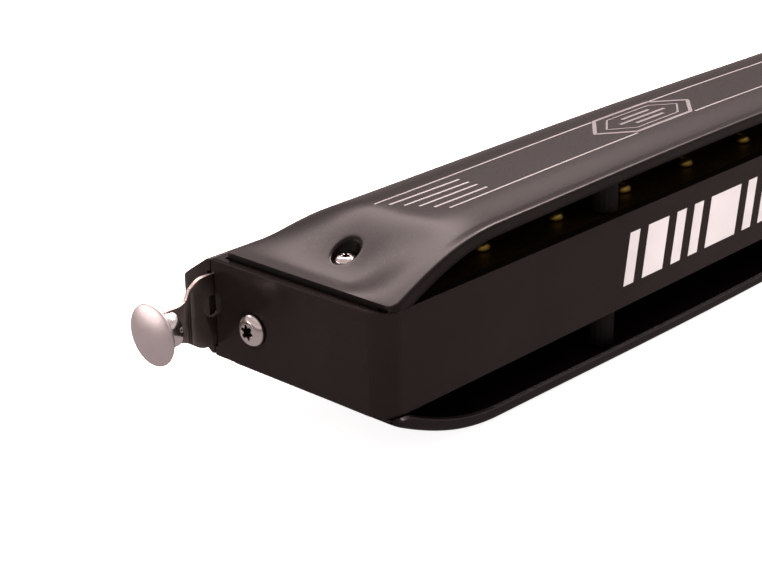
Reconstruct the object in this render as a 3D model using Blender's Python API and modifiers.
"""A sixteen-hole chromatic harmonica: closed body, drawn covers, mouthpiece and slide button.

Local frame, in millimetres: X runs along the body toward the slide button, -Y is the mouth
side and Y = 0 the rear face, and Z = 0 is the middle of the body. Every part hangs from an
empty that puts the middle of the bounding box's underside at the world's origin.
"""

import math

import bmesh
import bpy
from mathutils import Matrix, Vector

MM = 0.001
FIT = 0.3  # clearance between pieces that touch

# Body
BODY_LENGTH = 188.0
BODY_DEPTH = 39.6
BODY_HEIGHT = 17.8
BODY_CORNER = 4.0
RIM = 1.4
DECK_DROP = 1.2  # the reed plates lie this far below the rim
CHANNELS = 16
PITCH = 10.0
CHAMBER_WIDTH = 7.4
WEB = 2.0  # between the upper and the lower chambers

# Covers: heights are above the body's rim
SHEET = 0.6
COVER_EDGE = 1.1
CREST_AT_ENDS = 8.4
CREST_AT_MIDDLE = 9.2
CROWN_HALF = 74.0  # the crown runs out this far from the middle
COVER_FRONT_Y = -37.6
LIP_Y = 0.9
END_SLOPE = (2.0, 19.0)  # where the end slope starts and stops, from the cover's end
FRONT_ROLL = 17.5
RIDGE_RISE = 25.0  # the rear crest climbs over this length from the cover's end
REAR_CORNER = 3.5
FRONT_CORNER = 1.5
SKIRT_END = -3.0  # the end walls reach down to the deck in front of this

# Mouthpiece and slide
MOUTH_DEPTH = 10.1
MOUTH_CORNER = 6.0
MOUTH_SLOPE = 34.2  # degrees, from the seam down to the nose
NOSE_RADIUS = 4.2
HOLE_WIDTH = 7.6
TRAVEL = 4.8
SLIDE_THICKNESS = 0.8
SLIDE_HALF = 6.4
SLIDE_Z = -0.3  # the height of the slide's and the button's axis
SLIDE_LEFT = -79.0
NECK_HALF = 3.3
PLATE = 0.4  # backing plate and cage
TONGUE_JOG = 1.0
BUTTON_WIDTH = 10.8
BUTTON_REACH = 15.2

# Worked out
HALF_LENGTH = BODY_LENGTH / 2
TOP = BODY_HEIGHT / 2
DECK = TOP - DECK_DROP
COVER_HALF = HALF_LENGTH - RIM - FIT
MOUTH_BACK = -BODY_DEPTH - FIT
MOUTH_FRONT = MOUTH_BACK - MOUTH_DEPTH
SLIDE_Y = -BODY_DEPTH - 0.2
TONGUE_SLOT = (SLIDE_Z - SLIDE_HALF - 0.4, SLIDE_Z + SLIDE_HALF + 0.4)
SLIDE_FACES = (SLIDE_Y - SLIDE_THICKNESS / 2, SLIDE_Y + SLIDE_THICKNESS / 2)
BACKING_FACES = (SLIDE_FACES[1] + FIT, SLIDE_FACES[1] + FIT + PLATE)
CAGE_FACES = (SLIDE_FACES[0] - FIT - PLATE, SLIDE_FACES[0] - FIT)
COMB_FRONT = BACKING_FACES[1] + FIT
POCKET_FRONT = CAGE_FACES[0] - FIT
POCKET = (-92.5, 90.5)  # ends of the slide's pocket
POCKET_HALF = 7.1
CHANNEL_X = [(i - (CHANNELS - 1) / 2) * PITCH for i in range(CHANNELS)]
PLATE_FACES = (DECK + FIT, TOP)
PLATE_HALF = COVER_HALF - SHEET - 0.6
PLATE_Y = (COVER_FRONT_Y + SHEET + FIT, -RIM - 0.9)
REED_WIDTH = 2.2
REED_FRONT = -35.0
PLATE_SCREW_Y = -8.0
PLATE_SCREW_X = [(i - 4) * 2 * PITCH + 2 for i in range(9)]
COVER_SCREW = (83.7, -18.0)
WELL_RADIUS = 2.75
SLEEVE_RADIUS = 2.3
POST_X = 32.5
POST_Y = -4.3
POST_RADIUS = 2.6
MOUTH_SCREW_X = 85.4
END_SCREW = (-29.8, -1.4)  # Y and Z
END_HEAD_RADIUS = 2.85
END_HEAD_RISE = 1.5
BUTTON_Y = SLIDE_Y + TONGUE_JOG
HOLE_IN_TONGUE = 1.9
HOLE_CENTRE = (0.3, 0.4)  # from the body's end, and Z
BEND = (4.8, 7.2)  # where the tongue steps over, from the body's end
NECK_REACH = 12.1  # likewise
PIN_X = 11.0
PIN_RADIUS = 0.5
PIN_END = 1.6  # beyond the button's axis
HUB_RADIUS = 3.2
HUB_ENDS = (9.9, 12.7)
BOX_CENTRE_X = (BUTTON_REACH - END_HEAD_RISE) / 2
BOX_CENTRE_Y = (MOUTH_FRONT + LIP_Y) / 2
STAND_HEIGHT = TOP + CREST_AT_MIDDLE


# Scene helpers


def clear_scene():
    for obj in list(bpy.data.objects):
        bpy.data.objects.remove(obj, do_unlink=True)


def collection(name):
    made = bpy.data.collections.new(name)
    bpy.context.scene.collection.children.link(made)
    return made


def empty(name, place, parent=None):
    made = bpy.data.objects.new(name, None)
    made.location = Vector(place) * MM
    made.parent = parent
    made.empty_display_size = 10 * MM
    PARTS.objects.link(made)
    return made


def material(name, colour, metallic, roughness):
    made = bpy.data.materials.new(name)
    made.use_nodes = True
    shader = made.node_tree.nodes["Principled BSDF"]
    shader.inputs["Base Color"].default_value = (*colour, 1.0)
    shader.inputs["Metallic"].default_value = metallic
    shader.inputs["Roughness"].default_value = roughness
    return made


def mesh_object(name, shape, group):
    """An object from a bmesh in millimetres, stored in metres."""
    bmesh.ops.scale(shape, vec=(MM, MM, MM), verts=shape.verts)
    bmesh.ops.recalc_face_normals(shape, faces=shape.faces)
    mesh = bpy.data.meshes.new(name)
    shape.to_mesh(mesh)
    shape.free()
    made = bpy.data.objects.new(name, mesh)
    group.objects.link(made)
    return made


def part(name, shape, look, parent=None):
    made = mesh_object(name, shape, PARTS)
    made.data.materials.append(look)
    made.parent = parent or HARMONICA
    return made


def cutter(name, shape):
    made = mesh_object(name, shape, CUTTERS)
    made.hide_render = True
    made.display_type = "WIRE"
    made.parent = HARMONICA
    return made


def combine(target, tool, operation):
    step = target.modifiers.new(tool.name, "BOOLEAN")
    step.operation = operation
    step.object = tool


def round_look(obj, angle=35):
    obj.data.shade_smooth()
    obj.data.set_sharp_from_angle(angle=math.radians(angle))


# Shape helpers: each adds one closed body to a bmesh


def add_box(shape, x, y, z):
    size = (x[1] - x[0], y[1] - y[0], z[1] - z[0], 1)
    middle = ((x[0] + x[1]) / 2, (y[0] + y[1]) / 2, (z[0] + z[1]) / 2)
    place = Matrix.Translation(middle) @ Matrix.Diagonal(size)
    return bmesh.ops.create_cube(shape, size=1, matrix=place)["verts"]


def add_rod(shape, start, end, radius, sides=12, end_radius=None):
    start, end = Vector(start), Vector(end)
    along = end - start
    turn = along.to_track_quat("Z", "Y").to_matrix().to_4x4()
    made = bmesh.ops.create_cone(
        shape,
        cap_ends=True,
        segments=sides,
        radius1=radius,
        radius2=radius if end_radius is None else end_radius,
        depth=along.length,
        matrix=Matrix.Translation((start + end) / 2) @ turn,
    )
    return made["verts"]


def add_prism(shape, outline, offset):
    """Extrudes a flat outline by an offset."""
    face = shape.faces.new([shape.verts.new(point) for point in outline])
    pushed = bmesh.ops.extrude_face_region(shape, geom=[face])["geom"]
    corners = [item for item in pushed if isinstance(item, bmesh.types.BMVert)]
    bmesh.ops.translate(shape, vec=offset, verts=corners)


def round_upright_edges(shape, corners, radius, sides):
    """Rounds the edges along Z that stand at the given (x, y) corners."""
    picked = []
    for edge in shape.edges:
        a, b = (v.co for v in edge.verts)
        if (a - b).xy.length < 1e-6 and any((a.xy - Vector(c)).length < 1e-3 for c in corners):
            picked.append(edge)
    bmesh.ops.bevel(shape, geom=picked, offset=radius, segments=sides, profile=0.5, affect="EDGES")


def smoothstep(t):
    t = min(1.0, max(0.0, t))
    return t * t * (3 - 2 * t)


# Covers


def crest(x):
    """The plateau's height above the rim, crowned along the length."""
    swell = (0.5 + 0.5 * math.cos(math.pi * min(1.0, abs(x) / CROWN_HALF))) ** 0.75
    return CREST_AT_ENDS + (CREST_AT_MIDDLE - CREST_AT_ENDS) * swell


def rear_ridge(x):
    from_end = COVER_HALF - abs(x)
    climb = math.sin(math.pi / 2 * min(1.0, max(0.0, from_end / RIDGE_RISE)) ** 0.95)
    return COVER_EDGE + (crest(x) - COVER_EDGE) * climb


def cover_height(x, y):
    """A cover's outer surface above the rim, inside its outline."""
    from_end = COVER_HALF - abs(x)
    end = smoothstep((from_end - END_SLOPE[0]) / (END_SLOPE[1] - END_SLOPE[0]))
    across = min(1.0, max(0.0, (y - COVER_FRONT_Y) / FRONT_ROLL))
    front = 0.17 * (1 - math.exp(-across / 0.04)) + 0.83 * math.sin(math.pi / 2 * across)
    dome = COVER_EDGE + (crest(x) - COVER_EDGE) * end * front
    to_ridge = smoothstep((y + 7.0) / 6.0)
    valley = 0.5 * end * math.exp(-(((y + 3.4) / 1.6) ** 2))
    return dome * (1 - to_ridge) + rear_ridge(x) * to_ridge - valley


def corner_inset(from_end, radius):
    if from_end >= radius:
        return 0.0
    return radius - math.sqrt(radius**2 - (radius - from_end) ** 2)


def lip_drop(x):
    return 2.35 + 0.7 * math.exp(-(COVER_HALF - abs(x)) / 30)


def cover_row(x):
    """One section of a cover across the body, from its front edge to the lip's free edge."""
    from_end = COVER_HALF - abs(x)
    front = COVER_FRONT_Y + corner_inset(from_end, FRONT_CORNER)
    rear = LIP_Y - corner_inset(from_end, REAR_CORNER)
    stretch = (rear - front) / (LIP_Y - COVER_FRONT_Y)
    rolled = [COVER_FRONT_Y + FRONT_ROLL * part for part in (0, 0.06, 0.2, 0.45, 0.72, 1.0)]
    row = [(front, -DECK_DROP + FIT)]
    for y in rolled + [-8.0, -5.0, -3.2, -1.4, -0.6]:
        row.append((front + (y - COVER_FRONT_Y) * stretch, cover_height(x, y)))
    ridge = rear_ridge(x)
    edge = max(0.35, ridge - lip_drop(x))
    row.append((rear - 0.5 * stretch, max(edge + 0.4, ridge - 0.3)))
    row.append((rear, max(edge + 0.2, ridge - 0.9)))
    row.append((rear, edge))
    return row


def cover(name, side, look):
    """A drawn sheet cover. side is 1 for the upper one and -1 for the lower one."""
    steps = [0, 1.2, 3, 5.5, 8.2, 11.2, 14.5, 18, 22, 34, 50, 70, COVER_HALF]
    stations = [COVER_HALF - step for step in steps]
    stations += [-x for x in reversed(stations[:-1])]
    shape = bmesh.new()
    rows = []
    for x in stations:
        points = [(x, y, side * (TOP + h)) for y, h in cover_row(x)]
        rows.append([shape.verts.new(point) for point in points])
    for end in (0, -1):
        skirt = []
        for vert in rows[end]:
            foot = -DECK_DROP + FIT if vert.co.y < SKIRT_END else 0.35
            skirt.append(shape.verts.new((vert.co.x, vert.co.y, side * (TOP + foot))))
        skirt[0], skirt[-1] = rows[end][0], rows[end][-1]
        rows.insert(0 if end == 0 else len(rows), skirt)
    for row, after in zip(rows, rows[1:]):
        for pair in zip(row, row[1:], after[1:], after):
            corners = list(dict.fromkeys(pair))
            if len(corners) > 2:
                shape.faces.new(corners if side > 0 else corners[::-1])
    made = part(name, shape, look)
    shell = made.modifiers.new("sheet", "SOLIDIFY")
    shell.thickness = SHEET * MM
    shell.offset = -1
    add_wells(made, name, side)
    return made


def add_wells(made, name, side):
    """A drawn cup in each end slope, with a floor under the cover screw's head."""
    cups, bores = bmesh.new(), bmesh.new()
    for x in (COVER_SCREW[0], -COVER_SCREW[0]):
        low = Vector((x, COVER_SCREW[1], side * (TOP + FIT)))
        high = Vector((x, COVER_SCREW[1], side * (TOP + 2)))
        for vert in add_rod(cups, low, high, WELL_RADIUS + SHEET, 20):
            if abs(vert.co.z) > TOP + 1:
                height = cover_height(vert.co.x, vert.co.y)
                vert.co.z = side * (TOP + height - SHEET / 2)
        floor = Vector((x, COVER_SCREW[1], side * (TOP + 0.7)))
        clear = Vector((x, COVER_SCREW[1], side * (TOP + 12)))
        add_rod(bores, floor, clear, WELL_RADIUS, 20)
    combine(made, cutter(name + "_cups", cups), "UNION")
    combine(made, cutter(name + "_bores", bores), "DIFFERENCE")
    holes = bmesh.new()
    for x in (COVER_SCREW[0], -COVER_SCREW[0]):
        add_rod(holes, (x, COVER_SCREW[1], side * TOP), (x, COVER_SCREW[1], side * (TOP + 1)), 1.75)
    combine(made, cutter(name + "_screw_holes", holes), "DIFFERENCE")


# Body


def reed_length(channel):
    """Low notes at the left have the long reeds."""
    return 20.0 - 9.0 * channel / (CHANNELS - 1)


def comb(look):
    shape = bmesh.new()
    x, rear, front = HALF_LENGTH, 0.0, -BODY_DEPTH
    add_box(shape, (-x, x), (front, rear), (-TOP, TOP))
    round_upright_edges(shape, [(-x, rear), (x, rear)], BODY_CORNER, 5)
    made = part("comb", shape, look)
    decks = bmesh.new()
    inner = (-HALF_LENGTH + RIM, HALF_LENGTH - RIM)
    for z in ((DECK, TOP + 1), (-TOP - 1, -DECK)):
        add_box(decks, inner, (COVER_FRONT_Y - 0.2, -RIM - 0.6), z)
    combine(made, cutter("comb_decks", decks), "DIFFERENCE")
    pocket = bmesh.new()
    add_box(pocket, POCKET, (-BODY_DEPTH - 1, COMB_FRONT), (-POCKET_HALF, POCKET_HALF))
    combine(made, cutter("comb_pocket", pocket), "DIFFERENCE")
    slot = bmesh.new()
    reach = (POCKET[1] - 1, HALF_LENGTH + 1)
    add_box(slot, reach, (-BODY_DEPTH - 1, SLIDE_FACES[1] + 0.5), TONGUE_SLOT)
    combine(made, cutter("comb_tongue_slot", slot), "DIFFERENCE")
    chambers = bmesh.new()
    for channel, x in enumerate(CHANNEL_X):
        wide = (x - CHAMBER_WIDTH / 2, x + CHAMBER_WIDTH / 2)
        back = REED_FRONT + reed_length(channel) + 1.0
        add_box(chambers, wide, (COMB_FRONT - 0.5, back), (WEB / 2, DECK - 1.5))
        add_box(chambers, wide, (COMB_FRONT - 0.5, back), (-DECK + 1.5, -WEB / 2))
    combine(made, cutter("comb_chambers", chambers), "DIFFERENCE")
    mouths = bmesh.new()
    for channel, x in enumerate(CHANNEL_X):
        wide = (x - CHAMBER_WIDTH / 2, x + CHAMBER_WIDTH / 2)
        deep = (REED_FRONT - 0.8, REED_FRONT + reed_length(channel) + 1.0)
        add_box(mouths, wide, deep, (DECK - 2, DECK + 0.5))
        add_box(mouths, wide, deep, (-DECK - 0.5, -DECK + 2))
    combine(made, cutter("comb_chamber_mouths", mouths), "DIFFERENCE")
    bores = bmesh.new()
    for x in (COVER_SCREW[0], -COVER_SCREW[0]):
        add_rod(bores, (x, COVER_SCREW[1], -TOP), (x, COVER_SCREW[1], TOP), SLEEVE_RADIUS + FIT, 16)
        near = math.copysign(HALF_LENGTH + 1, x)
        deep = math.copysign(HALF_LENGTH - 8.5, x)
        add_rod(bores, (near, *END_SCREW), (deep, *END_SCREW), 1.75)
    for x in (MOUTH_SCREW_X, -MOUTH_SCREW_X):
        add_rod(bores, (x, COMB_FRONT - 0.5, 0), (x, COMB_FRONT + 5, 0), 1.5)
    for x in PLATE_SCREW_X:
        for side in (1, -1):
            mouth = (x, PLATE_SCREW_Y, side * (DECK + 0.5))
            add_rod(bores, mouth, (x, PLATE_SCREW_Y, side * 2.0), 1.3, 8)
    combine(made, cutter("comb_bores", bores), "DIFFERENCE")
    return made


def reed_outline(x, root, tip, level, lift):
    """A reed's side view: a riveted root sunk into the plate, then a free tongue above it."""
    pad = 3.0 if tip > root else -3.0
    return [
        (x, root, level - 0.2 * lift),
        (x, root + pad, level - 0.2 * lift),
        (x, root + pad, level + 0.2 * lift),
        (x, tip, level + 0.2 * lift),
        (x, tip, level + 0.42 * lift),
        (x, root, level + 0.42 * lift),
    ]


def reed_plate(name, side, look):
    """A brass plate with two slots over each chamber and a reed over each slot."""
    shape = bmesh.new()
    faces = sorted((side * PLATE_FACES[0], side * PLATE_FACES[1]))
    add_box(shape, (-PLATE_HALF, PLATE_HALF), PLATE_Y, faces)
    made = part(name, shape, look)
    slots, reeds = bmesh.new(), bmesh.new()
    for channel, x in enumerate(CHANNEL_X):
        long = reed_length(channel)
        for offset, outer in ((-1.8, True), (1.8, False)):
            left = x + offset - REED_WIDTH / 2
            span = (REED_FRONT, REED_FRONT + long)
            add_box(slots, (left, left + REED_WIDTH), span, (side * TOP - 2, side * TOP + 2))
            root, tip = (span[1] + 2.4, span[0] + 0.3) if outer else (span[0] - 0.6, span[1] - 0.3)
            level = side * PLATE_FACES[1 if outer else 0]
            lift = side if outer else -side
            outline = reed_outline(left + 0.15, root, tip, level, lift)
            add_prism(reeds, outline, (REED_WIDTH - 0.3, 0, 0))
    for x in PLATE_SCREW_X:
        low, high = (x, PLATE_SCREW_Y, side * TOP - 2), (x, PLATE_SCREW_Y, side * TOP + 2)
        add_rod(slots, low, high, 1.3, 8)
    for x in (COVER_SCREW[0], -COVER_SCREW[0]):
        add_rod(slots, (x, COVER_SCREW[1], side * TOP - 2), (x, COVER_SCREW[1], side * TOP + 2), 1.75)
    combine(made, cutter(name + "_slots", slots), "DIFFERENCE")
    combine(made, cutter(name + "_reeds", reeds), "UNION")
    return made


def plate_screw(name, x, side, look):
    shape = bmesh.new()
    seat = TOP + FIT
    add_rod(shape, (x, PLATE_SCREW_Y, side * 2.4), (x, PLATE_SCREW_Y, side * (seat + 0.2)), 1.0, 8)
    made = part(name, shape, look)
    head = bmesh.new()
    top = seat + 0.9
    add_rod(head, (x, PLATE_SCREW_Y, side * seat), (x, PLATE_SCREW_Y, side * top), 2.0, 12, 1.5)
    combine(made, cutter(name + "_head", head), "UNION")
    round_look(made)


def post(name, x, side, look):
    shape = bmesh.new()
    high = cover_height(abs(x) + POST_RADIUS, POST_Y) - SHEET - 0.6
    foot = (x, POST_Y, side * (TOP + FIT))
    add_rod(shape, foot, (x, POST_Y, side * (TOP + high)), POST_RADIUS, 16)
    round_look(part(name, shape, look))


def cover_screw(name, x, side, look):
    shape = bmesh.new()
    y = COVER_SCREW[1]
    seat = TOP + 0.7 + 0.1
    add_rod(shape, (x, y, side * 2.6), (x, y, side * (seat + 0.3)), 1.35)
    made = part(name, shape, look)
    head = bmesh.new()
    add_rod(head, (x, y, side * seat), (x, y, side * (seat + 1.1)), 2.4, 20, 1.9)
    combine(made, cutter(name + "_head", head), "UNION")
    socket = bmesh.new()
    add_rod(socket, (x, y, side * (seat + 0.4)), (x, y, side * (seat + 2)), 0.8, 6)
    combine(made, cutter(name + "_socket", socket), "DIFFERENCE")
    round_look(made)


def sleeve(name, x, look):
    """The threaded sleeve that takes the upper and the lower cover screw."""
    shape = bmesh.new()
    y, end = COVER_SCREW[1], DECK - FIT
    add_rod(shape, (x, y, -end), (x, y, end), SLEEVE_RADIUS, 16)
    made = part(name, shape, look)
    bore = bmesh.new()
    add_rod(bore, (x, y, -TOP), (x, y, TOP), 1.35 + FIT, 12)
    combine(made, cutter(name + "_bore", bore), "DIFFERENCE")
    round_look(made)


def end_screw(name, side, look):
    shape = bmesh.new()
    face = side * HALF_LENGTH
    deep = (face - side * 8.0, *END_SCREW)
    add_rod(shape, deep, (face + side * 0.3, *END_SCREW), 1.4)
    made = part(name, shape, look)
    head = bmesh.new()
    seat, top = (face + side * 0.1, *END_SCREW), (face + side * END_HEAD_RISE, *END_SCREW)
    add_rod(head, seat, top, END_HEAD_RADIUS, 20, 2.1)
    combine(made, cutter(name + "_head", head), "UNION")
    socket = bmesh.new()
    add_rod(socket, (face + side * 0.6, *END_SCREW), (face + side * 3, *END_SCREW), 0.85, 6)
    combine(made, cutter(name + "_socket", socket), "DIFFERENCE")
    round_look(made)


# Mouthpiece and slide


def mouthpiece(look):
    middle = MOUTH_FRONT + NOSE_RADIUS
    spread = 90 - MOUTH_SLOPE
    nose = []
    for step in range(9):
        turn = math.radians(spread - 2 * spread * step / 8)
        nose.append((middle - NOSE_RADIUS * math.cos(turn), NOSE_RADIUS * math.sin(turn)))
    high = TOP - 0.3
    shoulder = nose[0][0] + (high - nose[0][1]) / math.tan(math.radians(MOUTH_SLOPE))
    section = [(MOUTH_BACK, high), (shoulder, high)]
    section += nose
    section += [(shoulder, -high), (MOUTH_BACK, -high)]
    shape = bmesh.new()
    add_prism(shape, [(-HALF_LENGTH, y, z) for y, z in section], (BODY_LENGTH, 0, 0))
    made = part("mouthpiece", shape, look)
    plan = bmesh.new()
    add_box(plan, (-HALF_LENGTH, HALF_LENGTH), (MOUTH_FRONT - 0.5, MOUTH_BACK + 1), (-TOP - 1, TOP + 1))
    corners = [(-HALF_LENGTH, MOUTH_FRONT - 0.5), (HALF_LENGTH, MOUTH_FRONT - 0.5)]
    round_upright_edges(plan, corners, MOUTH_CORNER, 5)
    bmesh.ops.scale(plan, vec=(1 - 1e-5, 1, 1), verts=plan.verts)
    combine(made, cutter("mouthpiece_plan", plan), "INTERSECT")
    pocket = bmesh.new()
    add_box(pocket, POCKET, (POCKET_FRONT, MOUTH_BACK + 1), (-POCKET_HALF, POCKET_HALF))
    combine(made, cutter("mouthpiece_pocket", pocket), "DIFFERENCE")
    slot = bmesh.new()
    reach = (POCKET[1] - 1, HALF_LENGTH + 1)
    add_box(slot, reach, (SLIDE_FACES[0] - 0.4, MOUTH_BACK + 1), TONGUE_SLOT)
    combine(made, cutter("mouthpiece_tongue_slot", slot), "DIFFERENCE")
    holes = bmesh.new()
    for x in CHANNEL_X:
        add_rod(holes, (x, MOUTH_FRONT - 1, 0), (x, POCKET_FRONT + 1, 0), HOLE_WIDTH / 2, 16)
    for x in (MOUTH_SCREW_X, -MOUTH_SCREW_X):
        add_rod(holes, (x, MOUTH_FRONT - 1, 0), (x, POCKET_FRONT + 1, 0), 1.5)
    combine(made, cutter("mouthpiece_holes", holes), "DIFFERENCE")
    seats = bmesh.new()
    for x in (MOUTH_SCREW_X, -MOUTH_SCREW_X):
        add_rod(seats, (x, MOUTH_FRONT - 1, 0), (x, MOUTH_FRONT + 2.0, 0), 2.8, 16)
    combine(made, cutter("mouthpiece_screw_seats", seats), "DIFFERENCE")
    round_look(made, 30)


def mouthpiece_screw(name, x, look):
    shape = bmesh.new()
    seat = MOUTH_FRONT + 2.0 - 0.2
    add_rod(shape, (x, seat - 0.2, 0), (x, COMB_FRONT + 4.6, 0), 1.15, 12)
    made = part(name, shape, look)
    head = bmesh.new()
    add_rod(head, (x, seat, 0), (x, seat - 1.2, 0), 2.4, 20, 1.9)
    combine(made, cutter(name + "_head", head), "UNION")
    socket = bmesh.new()
    add_rod(socket, (x, seat - 0.5, 0), (x, seat - 3, 0), 0.8, 6)
    combine(made, cutter(name + "_socket", socket), "DIFFERENCE")
    round_look(made)


def windows(name, faces, openings, pins, look):
    """A flat plate in the slide's pocket with rectangular openings and screw holes."""
    shape = bmesh.new()
    add_box(shape, (POCKET[0] + 0.5, POCKET[1] - 0.5), faces, (-6.5, 6.5))
    made = part(name, shape, look)
    cuts = bmesh.new()
    for x, z in openings:
        add_box(cuts, x, (faces[0] - 1, faces[1] + 1), z)
    for x in pins:
        add_rod(cuts, (x, faces[0] - 1, 0), (x, faces[1] + 1, 0), 1.5)
    combine(made, cutter(name + "_windows", cuts), "DIFFERENCE")


def backing_plate(look):
    openings = []
    for x in CHANNEL_X:
        openings.append(((x - 2.2, x + 2.2), (0.8, 5.4)))
        openings.append(((x - 2.2, x + 2.2), (-5.4, -0.8)))
    windows("slide_backing_plate", BACKING_FACES, openings, (MOUTH_SCREW_X, -MOUTH_SCREW_X), look)


def cage(look):
    openings = [((x - 2.6, x + 2.6), (-5.4, 5.4)) for x in CHANNEL_X]
    windows("slide_cage", CAGE_FACES, openings, (MOUTH_SCREW_X, -MOUTH_SCREW_X), look)


def slide(parent, look):
    """The slide plate, whose tongue narrows to a neck and steps back to the button's axis."""
    left, root, tip = SLIDE_LEFT, HALF_LENGTH + 2.0, HALF_LENGTH + NECK_REACH
    shoulder = [(root, SLIDE_HALF)]
    for step in range(1, 8):
        t = step / 7
        shoulder.append((root + 6.5 * t, NECK_HALF + (SLIDE_HALF - NECK_HALF) * (1 - smoothstep(t))))
    upper = [(left, SLIDE_HALF)] + shoulder + [(tip, NECK_HALF)]
    outline = [(x, SLIDE_Z + z) for x, z in upper]
    outline += [(x, SLIDE_Z - z) for x, z in reversed(upper)]
    shape = bmesh.new()
    add_prism(shape, [(x, SLIDE_FACES[0], z) for x, z in outline], (0, SLIDE_THICKNESS, 0))
    bend = (HALF_LENGTH + BEND[0], HALF_LENGTH + BEND[1])
    for step in range(5):
        x = bend[0] + (bend[1] - bend[0]) * step / 4
        everything = shape.verts[:] + shape.edges[:] + shape.faces[:]
        bmesh.ops.bisect_plane(shape, geom=everything, plane_co=(x, 0, 0), plane_no=(1, 0, 0))
    for vert in shape.verts:
        vert.co.y += TONGUE_JOG * smoothstep((vert.co.x - bend[0]) / (bend[1] - bend[0]))
    bmesh.ops.translate(shape, vec=-BUTTON_AXIS, verts=shape.verts)
    made = part("slide", shape, look, parent)
    cuts = bmesh.new()
    through = (SLIDE_FACES[0] - 1, SLIDE_FACES[1] + 1)
    for x in CHANNEL_X:
        add_box(cuts, (x - 2.1, x + 2.1), through, (1.0, 5.2))
        add_box(cuts, (x + TRAVEL - 2.1, x + TRAVEL + 2.1), through, (-5.2, -1.0))
    add_box(cuts, (MOUTH_SCREW_X - 1.45, MOUTH_SCREW_X + 1.45 + TRAVEL), through, (-1.5, 1.5))
    relief, high = HALF_LENGTH + HOLE_CENTRE[0], HOLE_CENTRE[1]
    add_rod(cuts, (relief, through[0], high), (relief, through[1], high), HOLE_IN_TONGUE, 16)
    pin = HALF_LENGTH + PIN_X
    add_rod(cuts, (pin, through[0], SLIDE_Z), (pin, through[1] + 2, SLIDE_Z), PIN_RADIUS + FIT, 8)
    combine(made, cutter("slide_windows", cuts), "DIFFERENCE")


def hub(parent, look):
    """The slotted ferrule that grips the neck. Its pin hole is blind, from the mouth side."""
    shape = bmesh.new()
    add_rod(shape, (HUB_ENDS[0], 0, 0), (HUB_ENDS[1], 0, 0), HUB_RADIUS, 20)
    made = part("button_hub", shape, look, parent)
    cuts = bmesh.new()
    half = SLIDE_THICKNESS / 2 + FIT
    add_box(cuts, (HUB_ENDS[0] - 1, NECK_REACH + FIT), (-half, half), (-4, 4))
    slot = cutter("button_hub_slot", cuts)
    pin_hole = bmesh.new()
    add_rod(pin_hole, (PIN_X, -5, 0), (PIN_X, PIN_END + FIT, 0), PIN_RADIUS + FIT, 8)
    hole = cutter("button_hub_pin_hole", pin_hole)
    for cut in (slot, hole):
        cut.parent = parent
        combine(made, cut, "DIFFERENCE")
    round_look(made)


def hub_pin(parent, look):
    """The pin that holds the neck in the ferrule."""
    shape = bmesh.new()
    add_rod(shape, (PIN_X, -HUB_RADIUS + 0.1, 0), (PIN_X, PIN_END, 0), PIN_RADIUS, 8)
    round_look(part("button_pin", shape, look, parent))


def button(parent, look):
    """A domed head with a flared back, turned about X."""
    rim = BUTTON_WIDTH / 2
    profile = [(BUTTON_REACH, 0)]
    for step in range(1, 6):
        r = rim * 0.97 * step / 5
        profile.append((BUTTON_REACH - 1.0 * (r / rim) ** 2.2, r))
    profile += [(BUTTON_REACH - 1.25, rim), (BUTTON_REACH - 1.5, rim * 0.97)]
    back = HUB_ENDS[1] + FIT
    profile += [(back + 0.35, 3.9), (back, 3.1), (back, 0)]
    shape = bmesh.new()
    points = [shape.verts.new((x, 0, r)) for x, r in profile]
    for a, b in zip(points, points[1:]):
        shape.edges.new((a, b))
    made = part("button", shape, look, parent)
    turn = made.modifiers.new("turned", "SCREW")
    turn.axis = "X"
    turn.steps = turn.render_steps = 24
    turn.use_merge_vertices = True
    turn.merge_threshold = 0.00001
    turn.use_normal_flip = False
    round_look(made)


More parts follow.
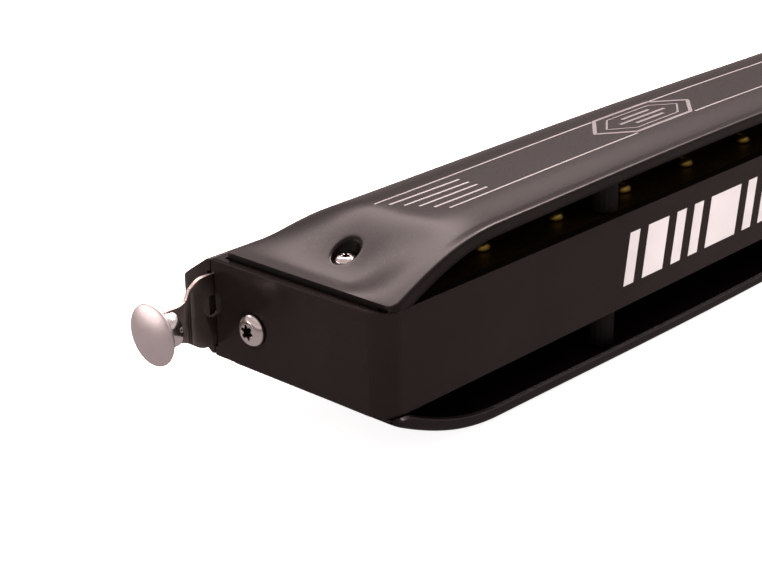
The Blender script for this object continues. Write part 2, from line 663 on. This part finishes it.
def spring(look):
    """The serpentine return spring between the slide's end and its pocket's end."""
    left, right = POCKET[0] + 0.6, SLIDE_LEFT - 0.6
    turns, count = 4.5, 36
    curve = bpy.data.curves.new("slide_spring", "CURVE")
    curve.dimensions = "3D"
    curve.bevel_depth = 0.3 * MM
    curve.bevel_resolution = 1
    curve.use_fill_caps = True
    line = curve.splines.new("POLY")
    line.points.add(count - 1)
    for step, point in enumerate(line.points):
        t = step / (count - 1)
        x = left + (right - left) * t
        z = 4.0 + 1.5 * math.sin(2 * math.pi * turns * t)
        point.co = (x * MM, SLIDE_Y * MM, z * MM, 1)
    made = bpy.data.objects.new("slide_spring", curve)
    PARTS.objects.link(made)
    made.data.materials.append(look)
    made.parent = HARMONICA


def build():
    body_black = material("body_black", (0.018, 0.015, 0.015), 0.0, 0.32)
    cover_black = material("cover_black", (0.03, 0.027, 0.027), 0.35, 0.38)
    brass = material("brass", (0.72, 0.52, 0.2), 1.0, 0.3)
    nickel = material("nickel", (0.78, 0.74, 0.72), 1.0, 0.12)
    plate_nickel = material("plate_nickel", (0.42, 0.39, 0.33), 1.0, 0.3)
    steel = material("steel", (0.6, 0.6, 0.62), 1.0, 0.25)

    comb(body_black)
    for word, side in (("upper", 1), ("lower", -1)):
        reed_plate(f"reed_plate_{word}", side, brass)
        cover(f"cover_{word}", side, cover_black)
        for number, x in enumerate(PLATE_SCREW_X, 1):
            plate_screw(f"reed_plate_screw_{word}_{number}", x, side, brass)
        for end, sign in (("right", 1), ("left", -1)):
            cover_screw(f"cover_screw_{word}_{end}", sign * COVER_SCREW[0], side, nickel)
            post(f"cover_post_{word}_{end}", sign * POST_X, side, body_black)
    for end, sign in (("right", 1), ("left", -1)):
        sleeve(f"cover_sleeve_{end}", sign * COVER_SCREW[0], brass)
        end_screw(f"end_screw_{end}", sign, nickel)
        mouthpiece_screw(f"mouthpiece_screw_{end}", sign * MOUTH_SCREW_X, nickel)
    mouthpiece(body_black)
    backing_plate(plate_nickel)
    cage(plate_nickel)
    spring(steel)
    slide(SLIDE_PARENT, plate_nickel)
    hub(SLIDE_PARENT, nickel)
    hub_pin(SLIDE_PARENT, steel)
    button(SLIDE_PARENT, nickel)


clear_scene()
PARTS = collection("chromatic_harmonica")
CUTTERS = collection("cutters")
HARMONICA = empty("harmonica_frame", (-BOX_CENTRE_X, -BOX_CENTRE_Y, STAND_HEIGHT))
BUTTON_AXIS = Vector((HALF_LENGTH, BUTTON_Y, SLIDE_Z))
SLIDE_PARENT = empty("slide_axis", BUTTON_AXIS, HARMONICA)
build()
